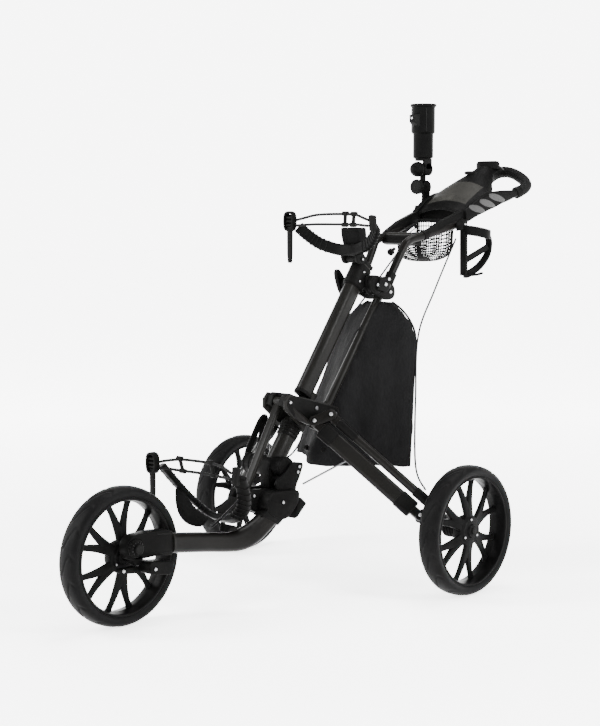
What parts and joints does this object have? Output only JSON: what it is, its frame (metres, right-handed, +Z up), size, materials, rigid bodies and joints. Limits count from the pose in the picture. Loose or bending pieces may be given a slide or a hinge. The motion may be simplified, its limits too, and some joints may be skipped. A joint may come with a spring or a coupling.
{
  "type": "golf bag push cart",
  "caption": "Folding three-wheel golf push cart in satin black with upper and lower bag cradles, console, bottle cage, umbrella holder and foam push loop.",
  "frame": {"origin": "on the ground under the centre of the bounding box", "axes": "+Z up, the front wheel points along -Y, +X is the side with the bottle cage"},
  "size_m": [0.764, 1.479, 1.133],
  "materials": {
    "satin_black": "satin powder coat",
    "plastic_black": "fine texture",
    "rim_black": "satin",
    "tyre_black": "foam tread",
    "rubber_black": "matt",
    "steel": "brushed",
    "lid_grey": "satin",
    "cloth_black": "woven",
    "mesh_black": "open mesh"
  },
  "bodies": {
    "hub": {"hub_plate_near": "satin_black", "hub_plate_far": "satin_black", "hub_spacer": "plastic_black", "hub_main_pin": "steel", "rear_bar_pin": "steel", "storage_bag": "cloth_black", "near_cord": "cloth_black", "far_cord": "cloth_black"},
    "mast": {"mast_tube": "satin_black", "mast_collar": "plastic_black", "upper_base": "plastic_black"},
    "rear_bar": {"rear_bar": "satin_black"},
    "knuckle": {"knuckle": "plastic_black"},
    "clamp_knob": {"clamp_knob": "plastic_black"},
    "handle": {"handle_frame": "satin_black", "console_tray": "plastic_black", "grip_loop": "rubber_black", "mesh_basket": "mesh_black", "bottle_cage": "plastic_black", "umbrella_clamp": "plastic_black"},
    "console_lid": {"console_lid": "lid_grey"},
    "umbrella_joint": {"umbrella_joint": "plastic_black"},
    "umbrella_dial": {"umbrella_dial": "plastic_black"},
    "umbrella_socket": {"umbrella_socket": "plastic_black"},
    "umbrella_knob": {"umbrella_knob": "plastic_black"},
    "upper_cradle": {"upper_cradle": "plastic_black", "cushion_block": "rubber_black", "upper_strap": "rubber_black", "upper_buckle": "plastic_black"},
    "lower_tube": {"lower_tube": "satin_black", "carry_loop": "plastic_black"},
    "front_link": {"front_link": "satin_black"},
    "front_arm": {"arm_casting": "plastic_black", "front_arm": "satin_black", "arm_end_block": "plastic_black", "foot_block": "rubber_black", "cradle_pedestal": "plastic_black", "lower_cradle": "plastic_black", "near_bag_pad": "rubber_black", "far_bag_pad": "rubber_black", "lower_strap": "rubber_black", "lower_buckle": "plastic_black"},
    "tracking_knob": {"tracking_knob": "plastic_black"},
    "brake_pedal": {"brake_pedal": "plastic_black"},
    "front_wheel": {"front_tyre": "tyre_black", "front_rim": "rim_black"},
    "near_leg_lower": {"near_leg_lower": "satin_black"},
    "near_leg_upper": {"near_leg_upper": "satin_black"},
    "near_wheel_bracket": {"near_wheel_bracket": "plastic_black"},
    "near_stay": {"near_stay_rod": "steel"},
    "near_wheel": {"near_tyre": "tyre_black", "near_rim": "rim_black"},
    "far_leg_lower": {"far_leg_lower": "satin_black"},
    "far_leg_upper": {"far_leg_upper": "satin_black"},
    "far_wheel_bracket": {"far_wheel_bracket": "plastic_black"},
    "far_stay": {"far_stay_rod": "steel"},
    "far_wheel": {"far_tyre": "tyre_black", "far_rim": "rim_black"}
  },
  "joints": [
    {"name": "mast_fold", "type": "hinge", "parent": "hub", "child": "mast", "pos_m": [0, -0.0365, 0.407], "axis": [1, 0, 0], "range_deg": [0, 59], "deforming": ["storage_bag", "near_cord", "far_cord"]},
    {"name": "rear_bar_fold", "type": "hinge", "parent": "hub", "child": "rear_bar", "pos_m": [0, 0.0295, 0.388], "axis": [1, 0, 0], "range_deg": [0, 59]},
    {"name": "knuckle_level", "type": "hinge", "parent": "mast", "child": "knuckle", "pos_m": [0, 0.1675, 0.683], "axis": [1, 0, 0], "range_deg": [-59, 0]},
    {"name": "handle_fold", "type": "hinge", "parent": "knuckle", "child": "handle", "pos_m": [0, 0.1675, 0.683], "axis": [1, 0, 0], "range_deg": [-30, 40], "deforming": ["near_cord", "far_cord"]},
    {"name": "handle_lock", "type": "hinge", "parent": "knuckle", "child": "clamp_knob", "pos_m": [-0.066, 0.1675, 0.683], "axis": [1, 0, 0], "range_deg": [-60, 60]},
    {"name": "console_lid_open", "type": "hinge", "parent": "handle", "child": "console_lid", "pos_m": [0, 0.5595, 0.935], "axis": [-1, 0, 0], "range_deg": [0, 75]},
    {"name": "umbrella_tilt", "type": "hinge", "parent": "handle", "child": "umbrella_joint", "pos_m": [-0.108, 0.5245, 0.921], "axis": [1, 0, 0], "range_deg": [-45, 10]},
    {"name": "umbrella_tilt_lock", "type": "hinge", "parent": "handle", "child": "umbrella_dial", "pos_m": [-0.108, 0.5025, 0.921], "axis": [0, 1, 0], "range_deg": [-90, 90]},
    {"name": "umbrella_angle", "type": "hinge", "parent": "umbrella_joint", "child": "umbrella_socket", "pos_m": [-0.108, 0.5255, 0.966], "axis": [1, 0, 0], "range_deg": [-30, 5]},
    {"name": "umbrella_angle_lock", "type": "hinge", "parent": "umbrella_joint", "child": "umbrella_knob", "pos_m": [-0.108, 0.4965, 0.966], "axis": [0, 1, 0], "range_deg": [-90, 90]},
    {"name": "upper_cradle_tilt", "type": "hinge", "parent": "mast", "child": "upper_cradle", "pos_m": [0, 0.1335, 0.744], "axis": [1, 0, 0], "range_deg": [-10, 20]},
    {"name": "front_fold", "type": "hinge", "parent": "hub", "child": "lower_tube", "pos_m": [0, -0.0365, 0.407], "axis": [-1, 0, 0], "range_deg": [0, 24]},
    {"name": "front_link_fold", "type": "hinge", "parent": "hub", "child": "front_link", "pos_m": [0, -0.1215, 0.427], "axis": [-1, 0, 0], "range_deg": [0, 24]},
    {"name": "front_level", "type": "hinge", "parent": "lower_tube", "child": "front_arm", "pos_m": [0, -0.1495, 0.208], "axis": [-1, 0, 0], "range_deg": [-24, 0]},
    {"name": "front_wheel_spin", "type": "hinge", "parent": "front_arm", "child": "front_wheel", "pos_m": [0, -0.5935, 0.146], "axis": [1, 0, 0], "continuous": true},
    {"name": "tracking_turn", "type": "hinge", "parent": "front_arm", "child": "tracking_knob", "pos_m": [0.067, -0.6045, 0.172], "axis": [1, 0, 0], "range_deg": [-60, 60]},
    {"name": "brake_press", "type": "hinge", "parent": "front_arm", "child": "brake_pedal", "pos_m": [0.042, -0.6305, 0.127], "axis": [-1, 0, 0], "range_deg": [0, 15]},
    {"name": "near_leg_fold", "type": "hinge", "parent": "hub", "child": "near_leg_lower", "pos_m": [0.056, -0.0635, 0.378], "axis": [-0.5939, 0.6709, -0.444], "range_deg": [0, 24], "deforming": ["storage_bag", "near_cord"]},
    {"name": "near_leg_upper_fold", "type": "hinge", "parent": "hub", "child": "near_leg_upper", "pos_m": [0.0795, -0.0335, 0.392], "axis": [-0.5939, 0.6709, -0.444], "range_deg": [0, 24]},
    {"name": "near_bracket_level", "type": "hinge", "parent": "near_leg_lower", "child": "near_wheel_bracket", "pos_m": [0.29, 0.0295, 0.179], "axis": [-0.5939, 0.6709, -0.444], "range_deg": [-24, 0]},
    {"name": "near_stay_turn", "type": "hinge", "parent": "near_leg_lower", "child": "near_stay", "pos_m": [0.13282, -0.02163, 0.30081], "axis": [-0.5939, 0.6709, -0.444], "range_deg": [0, 2.4]},
    {"name": "near_wheel_spin", "type": "hinge", "parent": "near_wheel_bracket", "child": "near_wheel", "pos_m": [0.356, 0.1115, 0.146], "axis": [1, 0, 0], "continuous": true},
    {"name": "far_leg_fold", "type": "hinge", "parent": "hub", "child": "far_leg_lower", "pos_m": [-0.056, -0.0635, 0.378], "axis": [-0.5939, -0.6709, 0.444], "range_deg": [0, 24], "deforming": ["storage_bag", "far_cord"]},
    {"name": "far_leg_upper_fold", "type": "hinge", "parent": "hub", "child": "far_leg_upper", "pos_m": [-0.0795, -0.0335, 0.392], "axis": [-0.5939, -0.6709, 0.444], "range_deg": [0, 24]},
    {"name": "far_bracket_level", "type": "hinge", "parent": "far_leg_lower", "child": "far_wheel_bracket", "pos_m": [-0.29, 0.0295, 0.179], "axis": [-0.5939, -0.6709, 0.444], "range_deg": [-24, 0]},
    {"name": "far_stay_turn", "type": "hinge", "parent": "far_leg_lower", "child": "far_stay", "pos_m": [-0.13282, -0.02163, 0.30081], "axis": [-0.5939, -0.6709, 0.444], "range_deg": [0, 2.4]},
    {"name": "far_wheel_spin", "type": "hinge", "parent": "far_wheel_bracket", "child": "far_wheel", "pos_m": [-0.356, 0.1115, 0.146], "axis": [1, 0, 0], "continuous": true}
  ],
  "couplings": [
    {"joint": "rear_bar_fold", "follows": "mast_fold", "ratio": 1},
    {"joint": "knuckle_level", "follows": "mast_fold", "ratio": -1},
    {"joint": "front_link_fold", "follows": "front_fold", "ratio": 1},
    {"joint": "front_level", "follows": "front_fold", "ratio": -1},
    {"joint": "near_leg_fold", "follows": "front_fold", "ratio": 1},
    {"joint": "near_leg_upper_fold", "follows": "front_fold", "ratio": 1},
    {"joint": "near_bracket_level", "follows": "front_fold", "ratio": -1},
    {"joint": "near_stay_turn", "follows": "front_fold", "ratio": 0.1},
    {"joint": "far_leg_fold", "follows": "front_fold", "ratio": 1},
    {"joint": "far_leg_upper_fold", "follows": "front_fold", "ratio": 1},
    {"joint": "far_bracket_level", "follows": "front_fold", "ratio": -1},
    {"joint": "far_stay_turn", "follows": "front_fold", "ratio": 0.1}
  ]
}
